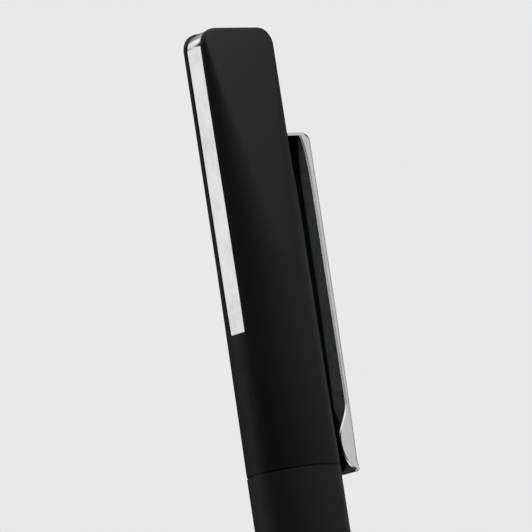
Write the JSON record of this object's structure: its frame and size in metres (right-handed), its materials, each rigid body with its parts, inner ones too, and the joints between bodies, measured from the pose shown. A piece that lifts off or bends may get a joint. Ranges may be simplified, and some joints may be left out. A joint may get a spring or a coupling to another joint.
{
  "type": "counterfeit detector pen",
  "caption": "Capped marker pen: round barrel and screw-in grip with a felt nib, pull-off cap flattening to a rectangular head, bright side band and a springy channel clip.",
  "frame": {"origin": "centre of the tail's flat rest face, on the pen's axis", "axes": "+Z along the pen from tail to cap top, +X towards the clip, -X towards the trim band, -Y the face of the head that the picture shows in front"},
  "size_m": [0.0168, 0.0128, 0.138],
  "materials": {
    "soft_touch_black": "matte rubberised soft-touch lacquer, very faint broad sheen",
    "bright_trim": "polished bright plating",
    "clip_steel": "polished bright plating on folded steel sheet",
    "spring_steel": "drawn wire, bright",
    "bush_brass": "machined, bare",
    "black_plastic": "moulded, semi-gloss black",
    "liner_plastic": "moulded, dark grey",
    "natural_plastic": "moulded, uncoloured and slightly milky",
    "seal_rubber": "moulded elastomer, black",
    "ink_fibre": "bonded polyester fibre soaked with amber ink",
    "nib_felt": "bonded fibre nib, amber-brown with ink"
  },
  "bodies": {
    "barrel": {"barrel_tube": "soft_touch_black", "tail_plug": "black_plastic", "thread_bush": "bush_brass", "refill_spring": "spring_steel"},
    "o_ring": {"section_o_ring": "seal_rubber"},
    "grip": {"grip_section": "black_plastic", "shoulder_washer": "black_plastic", "refill_tube": "natural_plastic", "reservoir_core": "ink_fibre", "refill_end_plug": "liner_plastic", "nib_holder": "natural_plastic", "nib": "nib_felt"},
    "snap_ring": {"snap_ring": "spring_steel"},
    "cap": {"cap_shell": "soft_touch_black", "trim_band": "bright_trim", "cap_sleeve": "liner_plastic", "inner_cap": "natural_plastic", "inner_cap_seal": "seal_rubber", "clip_retainer": "liner_plastic"},
    "clip": {"clip": "clip_steel"}
  },
  "joints": [
    {"name": "section_turn", "type": "hinge", "parent": "barrel", "child": "o_ring", "pos_m": [0, 0, 0.0765], "axis": [0, 0, 1], "range_deg": [0, 1810]},
    {"name": "section_draw", "type": "slide", "parent": "o_ring", "child": "grip", "axis": [0, 0, 1], "range_m": [0, 0.0045], "deforming": ["refill_spring"]},
    {"name": "cap_turn", "type": "hinge", "parent": "grip", "child": "snap_ring", "pos_m": [0, 0, 0.0805], "axis": [0, 0, 1], "continuous": true},
    {"name": "cap_pull", "type": "slide", "parent": "snap_ring", "child": "cap", "axis": [0, 0, 1], "range_m": [0, 0.05]},
    {"name": "clip_flex", "type": "hinge", "parent": "cap", "child": "clip", "pos_m": [0.006, 0, 0.12305], "axis": [0, -1, 0], "range_deg": [0, 3.5], "stiffness_Nm_per_rad": 1}
  ],
  "couplings": [
    {"joint": "section_turn", "follows": "section_draw", "rad_per_m": 6981.3}
  ]
}
